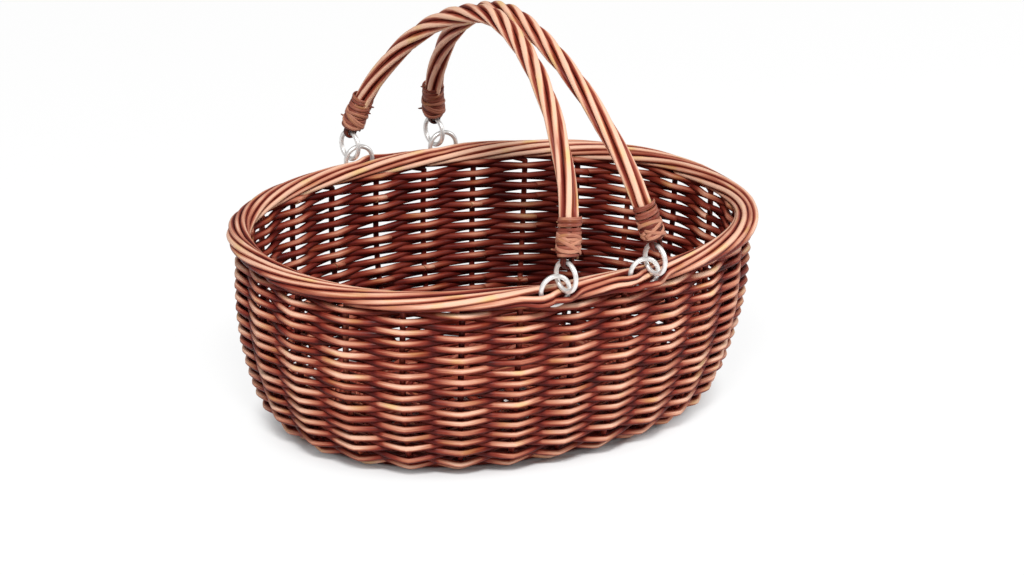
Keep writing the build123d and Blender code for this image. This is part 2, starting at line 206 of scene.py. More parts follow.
# %% [markdown]
# ## A rod
#
# A willow rod is a tapering tube with small swellings where the buds were and a slanting cut at each
# end. A curve object with a bevel could draw it, but the grain has to run along the rod, so the tube
# is built point by point and each point also stores where it would lie if the rod were straight.
# The materials read that stored place, so the grain follows every bend without a seam. Each point
# stores the rod's tone too, and a value that mixes how worn the skin is with painted light and shade.

# %% Routes
UP = np.array([0.0, 0.0, 1.0])
SIDES = 12
ROUND_THE_ROD = 2 * pi * np.arange(SIDES) / SIDES


def lengths_along(points):
    """Distance of each point of a route from its start."""
    steps = np.linalg.norm(np.diff(points, axis=0), axis=1)
    return np.concatenate([[0], np.cumsum(steps)])


def smooth_route(points, steps):
    """Catmull-Rom curve through points, with a number of steps in each span."""
    points = np.asarray(points, float)
    first = 2 * points[0] - points[1]
    last = 2 * points[-1] - points[-2]
    p = np.vstack([first, points, last])
    t = np.linspace(0, 1, steps, endpoint=False)[:, None]
    spans = []
    for a, b, c, d in zip(p, p[1:], p[2:], p[3:]):
        bend = (2 * a - 5 * b + 4 * c - d) * t**2 + (3 * b - a - 3 * c + d) * t**3
        spans.append(b + 0.5 * ((c - a) * t + bend))
    spans.append(points[-1:])
    return np.vstack(spans)


def carried_frames(points, lead):
    """Directions along and across a route at each point, turned as little as the bends allow."""
    tangents = unit(np.gradient(points, axis=0))
    across = np.empty_like(points)
    side = np.asarray(lead, float)
    for i, tangent in enumerate(tangents):
        side = side - tangent * (side @ tangent)
        side = side / np.linalg.norm(side)
        across[i] = side
    return tangents, across, np.cross(tangents, across)


def slow_noise(count, step, size):
    """Smooth random wobble along a route, from one random value every few steps."""
    knots = dice.normal(0, size, count // step + 4)
    return np.interp(np.arange(count) / step, np.arange(len(knots)), knots)


print("a rod has", SIDES, "sides")

# %% Rods as tubes
BUD_SPACING, BUD_SHIFT = 0.055, 0.012
BUD_SWELLING, BUD_LENGTH = 0.07, 0.0022
# How sharply the band of wear and painted light ends round a rod; past it the skin is painted dark as
# shade.
WEAR_AND_LIGHT_SLOPE, WEAR_AND_LIGHT_START = 1.9, 0.80
GRAIN_RANGE = 50  # metres of grain, from which each rod takes its own stretch


def facing_wear_and_light(places, points, facing, wear_and_painted_light):
    """Wear and painted light of every vertex: full where the skin looks along facing, and none on the
    far side, which paints shade there.
    """
    outward = unit(places - points[:, None, :])
    turned = (outward * facing[:, None, :]).sum(-1)
    return wear_and_painted_light[:, None] * np.clip(WEAR_AND_LIGHT_SLOPE * turned - WEAR_AND_LIGHT_START, 0, 1)


def with_buds(radius, along):
    """Swells a rod's radius at each bud."""
    radius = radius.copy()
    spots = np.arange(dice.uniform(0, BUD_SPACING), along[-1], BUD_SPACING)
    for spot in spots + dice.uniform(-BUD_SHIFT, BUD_SHIFT, len(spots)):
        radius *= 1 + BUD_SWELLING * np.exp(-(((along - spot) / BUD_LENGTH) ** 2))
    return radius


def rod(points, radius, lead=UP, tone=None, wear_and_painted_light=0.0, facing=None, buds=True, slant=0.6):
    """One rod as arrays: places, straight places, tone and wear with painted light of each vertex, and
    its rings.
    """
    points = np.asarray(points, float)
    count = len(points)
    along = lengths_along(points)
    radius = np.broadcast_to(np.asarray(radius, float), (count,))
    if buds:
        radius = with_buds(radius, along)
    tangents, across, normal = carried_frames(points, lead)
    ring_a, ring_b = np.cos(ROUND_THE_ROD), np.sin(ROUND_THE_ROD)
    offset_a = across[:, None, :] * ring_a[None, :, None]
    offset_b = normal[:, None, :] * ring_b[None, :, None]
    places = points[:, None, :] + (offset_a + offset_b) * radius[:, None, None]
    wear_and_painted_light = np.broadcast_to(np.asarray(wear_and_painted_light, float), (count,))
    if facing is None:
        vertex_wear_and_light = np.repeat(wear_and_painted_light[:, None], SIDES, 1)
    else:
        vertex_wear_and_light = facing_wear_and_light(places, points, facing, wear_and_painted_light)
    lean = slant * ring_b * radius[0]
    places[0] += tangents[0] * lean[:, None]
    places[-1] += tangents[-1] * lean[:, None]
    start = dice.uniform(0, GRAIN_RANGE)
    straight = np.stack([
        np.repeat(along[:, None] + start, SIDES, 1),
        ring_a[None, :] * radius[:, None],
        ring_b[None, :] * radius[:, None],
    ], axis=-1)
    tone = dice.uniform(0, 1) if tone is None else tone
    return {
        "places": places.reshape(-1, 3),
        "straight": straight.reshape(-1, 3),
        "tone": np.full(count * SIDES, tone),
        "wear_and_painted_light": vertex_wear_and_light.ravel(),
        "rings": count,
    }


print("a rod's buds are about", round(BUD_SPACING * 1000), "mm apart")

# %% Many rods as one object


def tube_faces(rods, closed):
    """The four-sided faces along many rods, and the cut ends of rods that aren't closed hoops."""
    around = np.arange(SIDES)
    beyond = (around + 1) % SIDES
    quads, caps, base = [], [], 0
    for one in rods:
        rings = one["rings"]
        spans = np.arange(rings if closed else rings - 1)[:, None]
        low, high = spans * SIDES, (spans + 1) % rings * SIDES
        faces = np.stack([low + around, low + beyond, high + beyond, high + around], axis=-1)
        quads.append(base + faces.reshape(-1, 4))
        if not closed:
            caps.append(base + around[::-1])
            caps.append(base + (rings - 1) * SIDES + around)
        base += rings * SIDES
    return np.vstack(quads), caps


def rod_mesh(name, rods, closed):
    """A mesh of rods. The cut ends take the second material and stay flat."""
    quads, caps = tube_faces(rods, closed)
    places = np.vstack([one["places"] for one in rods])
    loops = np.concatenate([quads.ravel(), *caps])
    starts = np.concatenate([
        np.arange(len(quads)) * 4,
        len(quads) * 4 + np.arange(len(caps)) * SIDES,
    ])
    mesh = bpy.data.meshes.new(name)
    mesh.vertices.add(len(places))
    mesh.vertices.foreach_set("co", places.ravel())
    mesh.loops.add(len(loops))
    mesh.loops.foreach_set("vertex_index", loops.astype(np.int32))
    mesh.polygons.add(len(starts))
    mesh.polygons.foreach_set("loop_start", starts.astype(np.int32))
    is_cap = np.repeat([False, True], [len(quads), len(caps)])
    if caps:
        mesh.polygons.foreach_set("material_index", is_cap.astype(np.int32))
    for label, kind, field in (
        ("straight", "FLOAT_VECTOR", "vector"),
        ("tone", "FLOAT", "value"),
        ("wear_and_painted_light", "FLOAT", "value"),
    ):
        values = np.concatenate([one[label] for one in rods])
        mesh.attributes.new(label, kind, "POINT").data.foreach_set(field, values.ravel())
    mesh.update(calc_edges=True)
    mesh.validate()
    mesh.polygons.foreach_set("use_smooth", ~is_cap)
    return mesh


def piece(name, rods, body, materials, nodes, closed=False):
    """One object out of many rods, that rides on a body and stands for its CAD nodes."""
    mesh = rod_mesh(name, rods, closed)
    for material in materials:
        mesh.materials.append(material)
    thing = bpy.data.objects.new(name, mesh)
    scene.collection.objects.link(thing)
    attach(thing, body)
    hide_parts(*nodes)
    print(name, len(rods), "rods,", len(mesh.polygons), "faces, for", len(nodes), "nodes")


print("each rod stores straight, tone and worn at its points")

# %% [markdown]
# ## Grain, as a group that several materials share
#
# Peeled and stained willow shows long thin streaks, broken mottling where the stain took unevenly,
# a fine ridged skin, and a yellower patch here and there. A tiled bark texture would show its seams
# and repeat from rod to rod. So all four come from noise that is stretched along the rod, read from
# the stored straight place. They are one group with named inputs, so that rods, skein, cut ends and
# even the rings' wire share it at different strengths.

# %% Willow grain group
GRAIN_ROUGHNESS = 0.6
GRAIN_LAYERS = {  # how finely each noise is divided along and across the rod, and its detail
    "Streaks": ((28.0, 1100.0, 1100.0), 3.0),
    "Mottle": ((22.0, 160.0, 160.0), 2.0),
    "Ridges": ((160.0, 3200.0, 3200.0), 2.0),
    "Patches": ((38.0, 60.0, 60.0), 1.0),
}


def add_socket(tree, name, way, kind, value=None):
    socket = tree.interface.new_socket(name=name, in_out=way, socket_type=kind)
    if value is not None:
        socket.default_value = value


def node(tree, kind, **settings):
    """A new node. A setting that starts with in_ is the value of that input."""
    made = tree.nodes.new(kind)
    for name, value in settings.items():
        if name.startswith("in_"):
            made.inputs[name[3:].replace("_", " ")].default_value = value
        else:
            setattr(made, name, value)
    return made


def grain_group():
    tree = bpy.data.node_groups.new("Willow grain", "ShaderNodeTree")
    add_socket(tree, "Straight place", "INPUT", "NodeSocketVector")
    add_socket(tree, "Streak size", "INPUT", "NodeSocketFloat", 1.0)
    start = node(tree, "NodeGroupInput")
    end = node(tree, "NodeGroupOutput")
    for name, (stretch, detail) in GRAIN_LAYERS.items():
        add_socket(tree, name, "OUTPUT", "NodeSocketFloat")
        scaled = node(tree, "ShaderNodeVectorMath", operation="MULTIPLY")
        scaled.inputs[1].default_value = stretch
        noise = node(tree, "ShaderNodeTexNoise", in_Detail=detail, in_Roughness=GRAIN_ROUGHNESS)
        tree.links.new(start.outputs["Straight place"], scaled.inputs[0])
        tree.links.new(scaled.outputs["Vector"], noise.inputs["Vector"])
        tree.links.new(start.outputs["Streak size"], noise.inputs["Scale"])
        tree.links.new(noise.outputs["Fac"], end.inputs[name])
    return tree


GRAIN = grain_group()
print("group", GRAIN.name, "gives", list(GRAIN_LAYERS))

# %% [markdown]
# ## Stained willow
#
# The stain is a dark red-brown, rubbed thin on the crests, where the pale wood shows through orange
# and tan. The colour is also painted darker in the hollows and on the sides turned from the lamps, and
# lighter on upper sides, as painted shade and painted highlight. Each rod also took the stain
# differently. A material for each shade would make steps that a real batch of rods doesn't have. So the
# colour is one ramp from near-black maroon to tan, and its place on the ramp is a sum: the rod's own
# tone, the wear with its painted light and shade, the streaks and the mottling. A thin coat of satin
# varnish goes over it.

# %% Ramps and sums


def ramp(tree, stops):
    made = node(tree, "ShaderNodeValToRGB")
    elements = made.color_ramp.elements
    while len(elements) < len(stops):
        elements.new(0.5)
    for element, (place, colour) in zip(elements, stops):
        element.position = place
        element.color = (*colour, 1.0)
    return made


def weighted_sum(tree, terms, offset):
    """Adds several sources, each times its weight, to an offset."""
    total = None
    for source, weight in terms:
        step = node(tree, "ShaderNodeMath", operation="MULTIPLY_ADD")
        step.inputs[1].default_value = weight
        tree.links.new(source, step.inputs[0])
        if total is None:
            step.inputs[2].default_value = offset
        else:
            tree.links.new(total, step.inputs[2])
        total = step.outputs[0]
    return total


def new_material(name):
    material = bpy.data.materials.new(name)
    material.use_nodes = True
    tree = material.node_tree
    return material, tree, tree.nodes["Principled BSDF"]


def grain_along_rod(tree, streak_size):
    """The grain group, read at each rod's stored straight place."""
    straight = node(tree, "ShaderNodeAttribute", attribute_name="straight")
    grain = node(tree, "ShaderNodeGroup", node_tree=GRAIN)
    grain.inputs["Streak size"].default_value = streak_size
    tree.links.new(straight.outputs["Vector"], grain.inputs["Straight place"])
    return grain


print("grain is set by", [s.name for s in GRAIN.interface.items_tree if s.in_out == "INPUT"])

# %% Stained willow material
YELLOW_TINT = (0.96, 1.04, 0.72, 1.0)
PATCH_START, PATCH_FULL = 0.55, 0.70
MOTTLED_ROUGHNESS, STREAKED_ROUGHNESS = 0.25, 0.12
USUAL_GRAIN_ROUGHNESS = 0.18  # what the two above add on average
RIDGES_BESIDE_STREAKS = 0.6
SKIN_DEPTH = 0.0003
SKIN_SPECULAR, COAT_ROUGHNESS = 0.12, 0.28
MIX_COLOUR_A, MIX_COLOUR_B, MIX_COLOUR_RESULT = 6, 7, 2  # a Mix node's sockets for colours


def yellow_patches(tree, patches, colour):
    """Tints a colour yellower in patches."""
    share = node(tree, "ShaderNodeMapRange", in_From_Min=PATCH_START, in_From_Max=PATCH_FULL)
    tree.links.new(patches, share.inputs["Value"])
    tinted = node(tree, "ShaderNodeMix", data_type="RGBA", blend_type="MULTIPLY")
    tinted.inputs[MIX_COLOUR_B].default_value = YELLOW_TINT
    tree.links.new(share.outputs["Result"], tinted.inputs["Factor"])
    tree.links.new(colour, tinted.inputs[MIX_COLOUR_A])
    return tinted.outputs[MIX_COLOUR_RESULT]


def willow_material(name, stops, weights, offset, roughness, coat, bump, streak_size=1.0):
    """weights are for tone, wear with painted light and shade, streaks and mottle, in that order."""
    material, tree, shader = new_material(name)
    tone = node(tree, "ShaderNodeAttribute", attribute_name="tone").outputs["Fac"]
    wear_and_painted_light = node(tree, "ShaderNodeAttribute", attribute_name="wear_and_painted_light").outputs["Fac"]
    grain = grain_along_rod(tree, streak_size)
    streaks, mottle = grain.outputs["Streaks"], grain.outputs["Mottle"]
    ridges, patches = grain.outputs["Ridges"], grain.outputs["Patches"]

    # The second term is wear with painted light and shade: it lightens crests and upper sides and
    # darkens hollows.
    place = weighted_sum(tree, zip((tone, wear_and_painted_light, streaks, mottle), weights), offset)
    colours = ramp(tree, stops)
    tree.links.new(place, colours.inputs["Fac"])
    tinted = yellow_patches(tree, patches, colours.outputs["Color"])
    tree.links.new(tinted, shader.inputs["Base Color"])

    rough = weighted_sum(tree, [(mottle, MOTTLED_ROUGHNESS), (streaks, STREAKED_ROUGHNESS)],
                         roughness - USUAL_GRAIN_ROUGHNESS)
    tree.links.new(rough, shader.inputs["Roughness"])
    raised = weighted_sum(tree, [(ridges, RIDGES_BESIDE_STREAKS), (streaks, 1.0)], 0)
    bumps = node(tree, "ShaderNodeBump", in_Strength=bump, in_Distance=SKIN_DEPTH)
    tree.links.new(raised, bumps.inputs["Height"])
    tree.links.new(bumps.outputs["Normal"], shader.inputs["Normal"])
    shader.inputs["Specular IOR Level"].default_value = SKIN_SPECULAR
    shader.inputs["Coat Weight"].default_value = coat
    shader.inputs["Coat Roughness"].default_value = COAT_ROUGHNESS
    return material


WILLOW_STOPS = [
    (0.00, (0.030, 0.0012, 0.0008)),
    (0.25, (0.110, 0.009, 0.006)),
    (0.50, (0.260, 0.042, 0.024)),
    (0.75, (0.550, 0.215, 0.130)),
    (1.00, (0.830, 0.500, 0.355)),
]
willow = willow_material("Stained willow", WILLOW_STOPS, (0.30, 0.70, 0.55, 0.50), -0.445,
                         roughness=0.46, coat=0.06, bump=0.5)
CUT_STOPS = [
    (0.0, (0.10, 0.035, 0.02)),
    (0.6, (0.30, 0.14, 0.07)),
    (1.0, (0.52, 0.32, 0.18)),
]
cut_willow = willow_material("Cut willow ends", CUT_STOPS, (0.2, 0.0, 0.4, 0.4), 0.0,
                             roughness=0.65, coat=0.0, bump=0.4, streak_size=2.0)
print("materials", [m.name for m in (willow, cut_willow)])

# %% [markdown]
# ## Rings
#
# Two plain wire rings join each handle end to the basket: one is worked into the border and the other
# links it to the handle's eye. They are bright drawn wire bent into a hoop, and their joint doesn't
# show at this size, so each is one closed round tube. A torus would give the same shape, but a closed
# rod stores the grain's place as every other rod does, and the basket's foot needs one too. The border
# is made after the rings, because its rods have to part round the wire.

# %% Ring positions
RING_RADIUS, WIRE_RADIUS = 0.0104, 0.0017
HANDLE_FOOT_X, HANDLE_FOOT_Y, HANDLE_FOOT_HEIGHT = 0.0364, 0.1514, 0.1457
RIM_RING_TURN, HANDLE_RING_TURN = radians(9), radians(8)
RIM_RING_BACK, RIM_RING_INWARDS, RIM_RING_DOWN = 0.0054, 0.0052, -0.0005
HANDLE_RING_INSET = 0.0005  # along its swing axis, which keeps the round wire inside the frame's box
HANDLE_SIDES = {"left": -1, "right": 1}
HANDLE_ENDS = {"front": -1, "rear": 1}
PIVOT_HEIGHT = HANDLE_FOOT_HEIGHT + 2 * RING_RADIUS


def ring_places():
    """Centre and level direction of each ring by name."""
    places = {}
    handle_level = np.array([-sin(HANDLE_RING_TURN), cos(HANDLE_RING_TURN), 0])
    rim_level = np.array([cos(RIM_RING_TURN), -sin(RIM_RING_TURN), 0])
    for side_name, side in HANDLE_SIDES.items():
        for end_name, end in HANDLE_ENDS.items():
            foot = np.array([side * HANDLE_FOOT_X, end * HANDLE_FOOT_Y, HANDLE_FOOT_HEIGHT])
            inset = np.array([0, -end * HANDLE_RING_INSET, 0])
            handle_centre = foot + inset + [0, 0, RING_RADIUS]
            rim_centre = foot + [end * RIM_RING_BACK, -end * RIM_RING_INWARDS, RIM_RING_DOWN]
            places[f"handle_ring_{end_name}_{side_name}"] = (handle_centre, handle_level)
            places[f"rim_ring_{end_name}_{side_name}"] = (rim_centre, rim_level)
    return places


RINGS = ring_places()
print("rings", len(RINGS), "pivots at height", round(PIVOT_HEIGHT, 4))

# %% [markdown]
# ## Bright wire
#
# Plated steel wire is a plain metal with faint drawing lines and a few duller patches. Metal shows
# what is round it, so it stays light only because the room it stands in is light.

# %% Bright wire material
WIRE_STOPS = [(0.3, (0.54, 0.52, 0.50)), (0.5, (0.88, 0.86, 0.84))]
WIRE_STREAK_SIZE = 2.0
WIRE_ROUGHNESS, MOTTLED_WIRE_ROUGHNESS = 0.28, 0.2
WIRE_METALLIC = 0.6


def wire_material():
    material, tree, shader = new_material("Bright wire")
    mottle = grain_along_rod(tree, WIRE_STREAK_SIZE).outputs["Mottle"]
    colours = ramp(tree, WIRE_STOPS)
    tree.links.new(mottle, colours.inputs["Fac"])
    tree.links.new(colours.outputs["Color"], shader.inputs["Base Color"])
    rough = weighted_sum(tree, [(mottle, MOTTLED_WIRE_ROUGHNESS)], WIRE_ROUGHNESS)
    tree.links.new(rough, shader.inputs["Roughness"])
    shader.inputs["Metallic"].default_value = WIRE_METALLIC
    return material


wire = wire_material()
print("material", wire.name)

# %% Rings of wire
RING_STEPS = 64


def closed_rod(points, radius, axis):
    """A rod that meets itself: its directions across are taken from a fixed axis."""
    count = len(points)
    after = np.roll(points, -1, 0)
    before = np.roll(points, 1, 0)
    tangents = unit(after - before)
    across = np.broadcast_to(unit(np.asarray(axis, float)), points.shape)
    across = unit(across - tangents * (across * tangents).sum(1, keepdims=True))
    normal = np.cross(tangents, across)
    offset = across[:, None, :] * np.cos(ROUND_THE_ROD)[None, :, None]
    offset = offset + normal[:, None, :] * np.sin(ROUND_THE_ROD)[None, :, None]
    along = np.linalg.norm(after - points, axis=1).cumsum()
    straight = np.stack([
        np.repeat(along[:, None], SIDES, 1),
        np.cos(ROUND_THE_ROD)[None, :] * np.full((count, 1), radius),
        np.sin(ROUND_THE_ROD)[None, :] * np.full((count, 1), radius),
    ], axis=-1)
    return {
        "places": (points[:, None, :] + offset * radius).reshape(-1, 3),
        "straight": straight.reshape(-1, 3),
        "tone": np.full(count * SIDES, dice.uniform(0, 1)),
        "wear_and_painted_light": np.zeros(count * SIDES),
        "rings": count,
    }


def wire_ring(name, centre, level):
    angles = 2 * pi * np.arange(RING_STEPS) / RING_STEPS
    hoop = np.cos(angles)[:, None] * level + np.sin(angles)[:, None] * UP
    rods = [closed_rod(centre + RING_RADIUS * hoop, WIRE_RADIUS, np.cross(level, UP))]
    piece(name + "_wire", rods, name, [wire], [name], closed=True)


for name, (centre, level) in RINGS.items():
    wire_ring(name, centre, level)

# %% [markdown]
# ## Room for the wire
#
# Rods that would run through a rim ring's wire part round it instead. Cutting a hole through them is
# quicker, but it shows as soon as the ring turns. A stiff rod needs some length to get out of the way,
# so each is bowed smoothly to the side it is already nearer to, and the outer ones sag a little over
# the lower half of the ring. Where a handle ring swings over the border, the rods on top lie a little
# lower.

# %% Room for the wire
BOW_LENGTH = 0.008
WIRE_CLEARANCE = 0.0001
SPLIT_PLACE = 0.0020  # rods that are less than this inside a ring's plane go outside it
OUTSIDE_SAG = 0.0029  # at the bottom of a ring
DIP_INSET, DIP_LENGTH, DIP_DEPTH = 0.006, 0.010, 0.0011
DIP_FLOOR, DIP_FULL_ABOVE = 0.1395, 0.003


def part_round_wire(points, radius):
    """Bows a rod just clear of every rim ring's wire, over a length that a stiff rod needs."""
    points = points.copy()
    along = lengths_along(points)
    for name, (centre, level) in RINGS.items():
        if not name.startswith("rim"):
            continue
        axis = np.cross(level, UP)
        off_plane = (points - centre) @ axis
        in_plane = points - centre - off_plane[:, None] * axis
        beside = np.abs(np.linalg.norm(in_plane, axis=1) - RING_RADIUS)
        room = np.broadcast_to(radius, beside.shape) + WIRE_RADIUS + WIRE_CLEARANCE
        needed = np.sqrt(np.clip(room**2 - beside**2, 0, None))
        close = needed > np.abs(off_plane)
        if close.any():
            outwards = np.sign(axis @ centre)
            outside = off_plane[close].mean() * outwards > -SPLIT_PLACE
            side = outwards if outside else -outwards
            push = np.clip(needed - side * off_plane, 0, None) * close
            bow = np.exp(-(((along[:, None] - along[None, :]) / BOW_LENGTH) ** 2))
            low = np.clip((centre[2] - points[:, 2]) / RING_RADIUS, 0, 1)
            points += side * (bow * push[None, :]).max(1)[:, None] * axis
            points[:, 2] -= OUTSIDE_SAG * outside * low * (bow * close[None, :]).max(1)
    return points


def dip_under_rings(points):
    """Lowers the top of the border a little where each handle ring swings over it."""
    points = points.copy()
    for name, (centre, _) in RINGS.items():
        if name.startswith("handle"):
            lowest = centre[:2] - [0, np.sign(centre[1]) * DIP_INSET]
            near = np.exp(-(((points[:, :2] - lowest) / DIP_LENGTH) ** 2).sum(1))
            high = np.clip((points[:, 2] - DIP_FLOOR) / DIP_FULL_ABOVE, 0, 1)
            points[:, 2] -= DIP_DEPTH * near * high
    return points


print("rods bow over", BOW_LENGTH, "m round each wire")

# %% [markdown]
# ## Side weave
#
# The wall is plain randing: each weaver goes outside one stake and inside the next, and the row above
# does the opposite. A weaver under tension runs nearly straight between stakes and bends round each
# one, so its swing is a rounded triangle wave and not a plain sine. The crests that stand out are
# lighter, partly rubbed and partly a painted highlight on their upper, outer side; the inner crests
# and the stretches where a weaver dips into the wall are painted darker as shade. All of this is stored
# with the wear. A row takes three weavers, and each one starts inside the basket, beside the tip of
# the one before. One row copied up the wall would be quicker, but the wall swells and each real row
# wavers in its own way, so every row is worked out from its own height.

# %% Where the rows lie
CORNER_ROWS, FIRST_CORNER_ROW, CORNER_ROW_PITCH = 4, 0.0052, 0.0047
WALL_ROWS, FIRST_WALL_ROW, LAST_WALL_ROW = 27, 0.0224, 0.1294
TOP_ROW = 0.1342  # one more row fills the gap under the border
SIDE_BANDS = {
    "corner_weave": (0, 4),
    "lower_weave": (4, 13),
    "middle_weave": (13, 22),
    "upper_weave": (22, 32),
}


def row_distances():
    corner = FIRST_CORNER_ROW + CORNER_ROW_PITCH * np.arange(CORNER_ROWS)
    heights = [*np.linspace(FIRST_WALL_ROW, LAST_WALL_ROW, WALL_ROWS), TOP_ROW]
    wall = distance_at_height(np.array(heights))
    return np.concatenate([corner, wall])


print("side rows", len(row_distances()))

# %% Side weave
ROW_STEP = 7  # bays from the start of one row to the start of the next
STEPS_PER_BAY = 10
SWING_SHARPNESS = 0.985
ROW_OVERRUN, ROW_END_BAYS, ROW_END_INSET = 0.10, 0.5, 0.0016
WEAVERS_PER_ROW, JOIN_LAP, JOIN_STEP, JOIN_BAYS = 3, 0.22, 0.0020, 0.8
WEAVER_BUTT, WEAVER_TAPER = 1.26, 0.11
# How far up the painted highlight on each crest leans, and how light inner crests get; they are kept
# darker as painted shade.
CREST_PAINTED_LIGHT_UP, INNER_WEAR_AND_SHADE = 0.8, 0.6
LIFT_NOISE = 0.00038
WEAR_NOISE = (8, 0.12)
THICKNESS_NOISE = (10, 0.00005)


def swing(bays):
    """Rounded triangle wave from -1 to 1 that turns at whole bays."""
    return np.arcsin(SWING_SHARPNESS * np.cos(pi * bays)) / asin(SWING_SHARPNESS)


def join_places():
    """Where a row's weavers begin and end, in bays. It passes inside the stake at every join."""
    joins = 2 * dice.choice(np.arange(2, STAKES // 2 - 1), WEAVERS_PER_ROW - 1, replace=False)
    return [-1.0, *sorted(joins), STAKES + 1.0]


def side_row(distance, first):
    """The weavers of one row. Each but the first starts inside, beside the last one's tip."""
    travelled = np.linspace(-ROW_OVERRUN, STAKES + ROW_OVERRUN, STAKES * STEPS_PER_BAY + 3)
    bay = first + travelled
    count = len(bay)
    lift = distance + slow_noise(count, STEPS_PER_BAY, LIFT_NOISE)
    to_end = np.minimum(travelled + ROW_OVERRUN, STAKES + ROW_OVERRUN - travelled)
    ends = np.clip(1 - to_end / ROW_END_BAYS, 0, 1)
    reach = -swing(travelled) * WEAVE_REACH - ROW_END_INSET * ends**2
    away = away_from_stake(bay, lift)
    points = stake_point(bay, lift) + away * reach[:, None]
    crest = reach / WEAVE_REACH
    # Wear with painted light and shade: crests are lighter on the outer, upper side as if lit from
    # above, inner crests darker, and the weaver is dark where it dips into the wall between stakes.
    facing = unit(away * np.sign(crest)[:, None] + CREST_PAINTED_LIGHT_UP * UP)
    wear_and_painted_light = np.where(crest > 0, np.sqrt(np.abs(crest)), -INNER_WEAR_AND_SHADE * crest)
    wear_and_painted_light = wear_and_painted_light + slow_noise(count, *WEAR_NOISE)
    weavers = []
    stops = join_places()
    for start, stop in zip(stops, stops[1:]):
        own = (travelled > start - JOIN_LAP) & (travelled < stop + JOIN_LAP)
        begun = np.clip(1 - (travelled[own] - start + JOIN_LAP) / JOIN_BAYS, 0, 1)
        route = points[own] - away[own] * (JOIN_STEP * begun**2)[:, None]
        share = (travelled[own] - start) / (stop - start)
        radius = WEAVER_RADIUS * (WEAVER_BUTT - WEAVER_TAPER * share)
        radius = radius + slow_noise(len(route), *THICKNESS_NOISE)
        weavers.append(rod(route, radius, wear_and_painted_light=wear_and_painted_light[own], facing=facing[own]))
    return weavers


for name, (first, last) in SIDE_BANDS.items():
    rows = [
        weaver
        for row, distance in enumerate(row_distances())
        if first <= row < last
        for weaver in side_row(distance, (ROW_STEP * row) % STAKES)
    ]
    piece(name + "_rods", rows, "basket", [willow, cut_willow], [name])

# %% [markdown]
# ## Stakes and rolled border
#
# Above the weave each stake is bent over and joins a roll: it starts low on the outside, climbs over
# the top and ends inside, four and a half bays on. Twenty-six rods doing that at once make the
# rope-like rim. Their thin tips are tucked in under the roll, and where a rim ring passes through, the
# rods bow to either side of its wire. A rope bent into an oval would look much the same from above, but
# from the side each rod has to be seen coming out of its own stake, so the two are one piece.

# %% The roll
ROLL_START, ROLL_END, ROLL_BAYS = radians(-50), radians(165), 4.5
TAIL_ANGLE, TAIL_BAYS = radians(95), 2.7
ROLL_STEPS, ROLL_FINE_STEPS = 90, 400
BORDER_HALF_AXES = (BORDER_HALF_LENGTH, BORDER_HALF_WIDTH)


def roll_points(stake, last_angle, bays, ease):
    """Centres of one border rod at equal steps round and along the roll, and their directions."""
    angles = np.linspace(ROLL_START, last_angle, ROLL_FINE_STEPS)
    across = ROLL_RADIUS_OUT * np.cos(angles)
    upwards = ROLL_RADIUS_UP * np.sin(angles)
    lengths = np.concatenate([[0], np.cumsum(np.hypot(np.diff(across), np.diff(upwards)))])
    share = np.linspace(0, 1, ROLL_STEPS)
    angle = np.interp(share * lengths[-1], lengths, angles)
    bay = stake + 0.5 + share * bays
    points = on_oval(bay, BORDER_HALF_AXES, (ROLL_RADIUS_OUT - ease) * np.cos(angle),
                     BORDER_HEIGHT + (ROLL_RADIUS_UP - ease) * np.sin(angle))
    middle = on_oval(bay, BORDER_HALF_AXES, 0.0, BORDER_HEIGHT)
    return points, unit(points - middle)


print("a border rod runs over", ROLL_BAYS + TAIL_BAYS, "bays with its tip")

# %% Stakes and border
STAKE_TOP = 0.1320
CORNER_STEPS, WALL_STEPS, BEND_STEPS = 10, 24, 6
TURN_OVER_BAYS, TURN_OVER_INSET, TURN_OVER_DROP = 0.16, 0.0006, 0.0062
STAKE_SHARE = 0.95  # a stake is this much of its full thickness, so that the weavers clear it
BORDER_ROD_RADIUS, BORDER_ROD_SIZES = 0.00245, (0.86, 1.04)
TAIL_SIZES = (0.7, 1.1)
DEEPEST_EASE = 0.0012  # the most that a border rod lies inside the roll's surface
SWELLING_RATE, TIP_TAPER = 6, 0.22
ROLL_NOISE = (14, 0.00022)
# Wear of the stakes and the roll, which also sets how strong their painted light and shade are.
STAKE_WEAR_AND_LIGHT, BORDER_WEAR_AND_LIGHT, BORDER_WEAR_NOISE = 0.10, 1.0, (10, 0.10)
BORDER_TONES = (-0.3, 1.5)
# How far up the border's painted highlight leans; the sides of its rods turned away are painted dark as
# shade.
BORDER_PAINTED_LIGHT_UP, BORDER_SLANT = 0.5, 1.4
STAKE_LEAD = (0.3, 0.2, 1.0)


def stake_route(stake, roll):
    """Up the corner and the wall, and over in a short bend into the roll."""
    corner = stake_point(np.full(CORNER_STEPS, stake), np.linspace(0, CORNER_LENGTH, CORNER_STEPS))
    heights = np.linspace(CORNER_RADIUS, STAKE_TOP, WALL_STEPS + 1)[1:]
    wall = stake_point(np.full(WALL_STEPS, stake), distance_at_height(heights))
    turn_over = on_oval(np.array([stake + TURN_OVER_BAYS]), BORDER_HALF_AXES, -TURN_OVER_INSET,
                        BORDER_HEIGHT - TURN_OVER_DROP)
    bend = smooth_route(np.vstack([wall[-2:], turn_over, roll[:2]]), BEND_STEPS)
    return np.vstack([corner, wall[:-1], bend[BEND_STEPS:-BEND_STEPS], roll[1:]])


